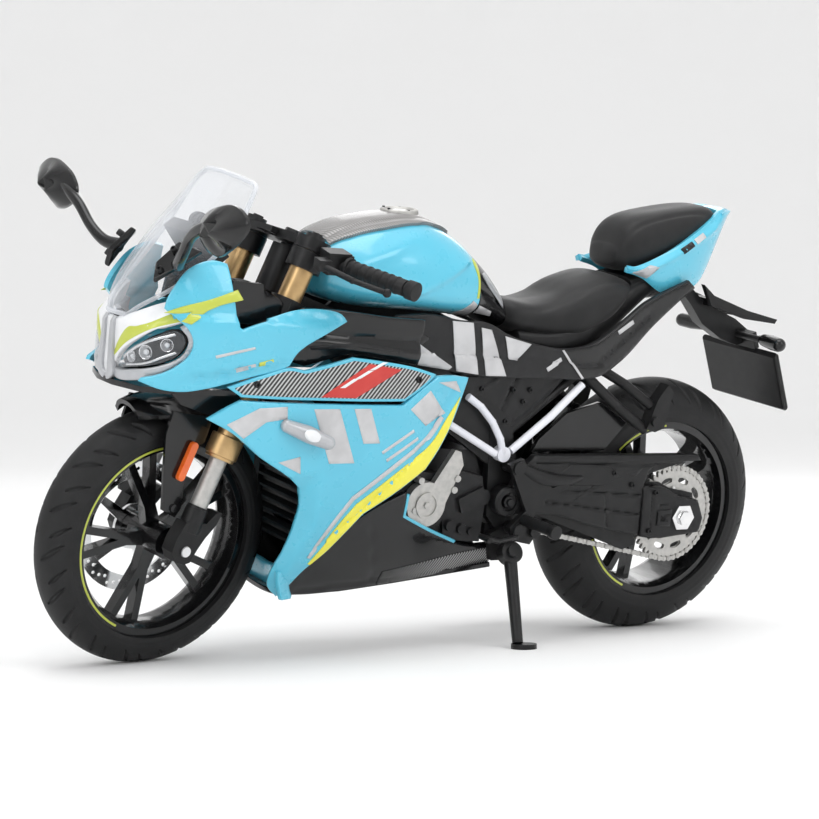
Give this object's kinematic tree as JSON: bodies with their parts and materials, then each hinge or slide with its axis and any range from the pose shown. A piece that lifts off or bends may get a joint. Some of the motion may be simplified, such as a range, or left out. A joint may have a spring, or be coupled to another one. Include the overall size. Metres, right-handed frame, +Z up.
{
  "type": "rc motorcycle",
  "caption": "Small die-cast style sport motorcycle with full fairing, free rolling wheels, turning bars, sprung fork and swingarm, and a folding side stand.",
  "frame": {"origin": "middle of the bounding box at the level of the surface it stands on", "axes": "+X towards the front wheel, +Y to the rider's left, +Z up; the model leans to +Y on its side stand and the bars are turned a little to the left"},
  "size_m": [0.1656, 0.0808, 0.0938],
  "materials": {
    "cyan_paint": "glossy sky blue paint",
    "black_gloss": "glossy black",
    "black_satin": "satin black",
    "white_gloss": "glossy white with yellow-green and silver areas",
    "grey_gloss": "glossy silver grey",
    "clear_plastic": "clear moulded plastic",
    "lamp_lens": "clear lens over a bright reflector",
    "carbon_look": "black and silver woven pattern under gloss",
    "seat_black": "matt black, soft to look at",
    "silver_metal": "grey bead-blasted metal",
    "bright_metal": "polished",
    "gold_metal": "bronze gold anodised",
    "tyre_rubber": "matt black soft rubber",
    "grip_rubber": "matt black",
    "rim_black": "glossy black with thin yellow-green stripe",
    "white_tube": "glossy white",
    "orange_reflector": "orange reflector",
    "tail_lens": "dark red lens",
    "engine_black": "satin black casting"
  },
  "bodies": {
    "chassis": {"main_frame": "black_satin", "frame_tubes": "white_tube", "engine": "engine_black", "engine_cover": "silver_metal", "radiator": "black_satin", "exhaust": "black_satin", "nose_panel": "white_gloss", "nose_trim": "grey_gloss", "headlights": "lamp_lens", "upper_fairing_left": "cyan_paint", "upper_fairing_right": "cyan_paint", "inner_cowl": "black_gloss", "windscreen": "clear_plastic", "dashboard": "black_satin", "mirrors": "black_gloss", "insert_panels": "carbon_look", "lower_fairing_left": "cyan_paint", "lower_fairing_right": "cyan_paint", "belly_pan": "black_gloss", "front_indicators": "lamp_lens", "air_ducts": "black_gloss", "side_covers": "black_gloss", "tank": "cyan_paint", "tank_top_cover": "carbon_look", "fuel_cap": "silver_metal", "tank_rear_cover": "black_gloss", "rider_seat": "seat_black", "pillion_seat": "seat_black", "tail_cowl": "cyan_paint", "undertail": "black_satin", "plate_holder": "black_satin", "number_plate": "black_satin", "tail_light": "tail_lens", "rear_indicators": "black_gloss", "rearsets": "black_satin", "rear_peg_brackets": "black_satin"},
    "steering": {"top_clamp": "black_satin", "bottom_clamp": "black_satin", "fork_outer_tubes": "gold_metal", "clip_on_bars": "black_satin", "grips": "grip_rubber", "hand_levers": "black_satin"},
    "fork_lower": {"fork_inner_tubes": "silver_metal", "fork_feet": "black_satin", "front_axle": "bright_metal", "front_fender": "black_gloss", "reflectors": "orange_reflector", "front_caliper": "black_satin"},
    "front_wheel": {"front_tyre": "tyre_rubber", "front_rim": "rim_black", "front_disc": "bright_metal"},
    "swingarm": {"swingarm": "black_satin", "chain_and_sprocket": "silver_metal", "rear_axle": "bright_metal", "rear_hugger": "black_gloss"},
    "rear_wheel": {"rear_tyre": "tyre_rubber", "rear_rim": "rim_black"},
    "shock_body": {"shock_body": "silver_metal"},
    "shock_rod": {"shock_rod": "bright_metal"},
    "side_stand": {"side_stand": "black_satin"}
  },
  "joints": [
    {"name": "steering_turn", "type": "hinge", "parent": "chassis", "child": "steering", "pos_m": [0.03877, -0.00308, 0.06865], "axis": [-0.3616, 0.1747, 0.9158], "range_deg": [-21.7, 4.3]},
    {"name": "front_fork_travel", "type": "slide", "parent": "steering", "child": "fork_lower", "axis": [-0.3616, 0.1747, 0.9158], "range_m": [0, 0.0012], "stiffness_N_per_m": 700, "springref_m": -0.002},
    {"name": "front_wheel_spin", "type": "hinge", "parent": "fork_lower", "child": "front_wheel", "pos_m": [0.05888, -0.01134, 0.02357], "axis": [-0.141, 0.9607, -0.239], "continuous": true},
    {"name": "swingarm_travel", "type": "hinge", "parent": "chassis", "child": "swingarm", "pos_m": [-0.0114, -0.01034, 0.03057], "axis": [0, 0.9823, -0.1874], "range_deg": [0, 4], "stiffness_Nm_per_rad": 1.2, "springref_deg": -6.88},
    {"name": "rear_wheel_spin", "type": "hinge", "parent": "swingarm", "child": "rear_wheel", "pos_m": [-0.0553, -0.01117, 0.02625], "axis": [0, 0.9823, -0.1874], "continuous": true},
    {"name": "shock_swing", "type": "hinge", "parent": "chassis", "child": "shock_body", "pos_m": [-0.0136, -0.00734, 0.04629], "axis": [0, 0.9823, -0.1874], "range_deg": [-6, 6]},
    {"name": "shock_stroke", "type": "slide", "parent": "shock_body", "child": "shock_rod", "axis": [-0.4435, -0.1679, -0.8804], "range_m": [-0.003, 0.003]},
    {"name": "side_stand_fold", "type": "hinge", "parent": "chassis", "child": "side_stand", "pos_m": [-0.0126, 0.0013, 0.01797], "axis": [0.1387, 0.9412, 0.3082], "range_deg": [0, 91.8]}
  ],
  "couplings": [
    {"joint": "shock_swing", "follows": "swingarm_travel", "ratio": 0.37228},
    {"joint": "shock_stroke", "follows": "swingarm_travel", "m_per_rad": -0.0092407}
  ]
}
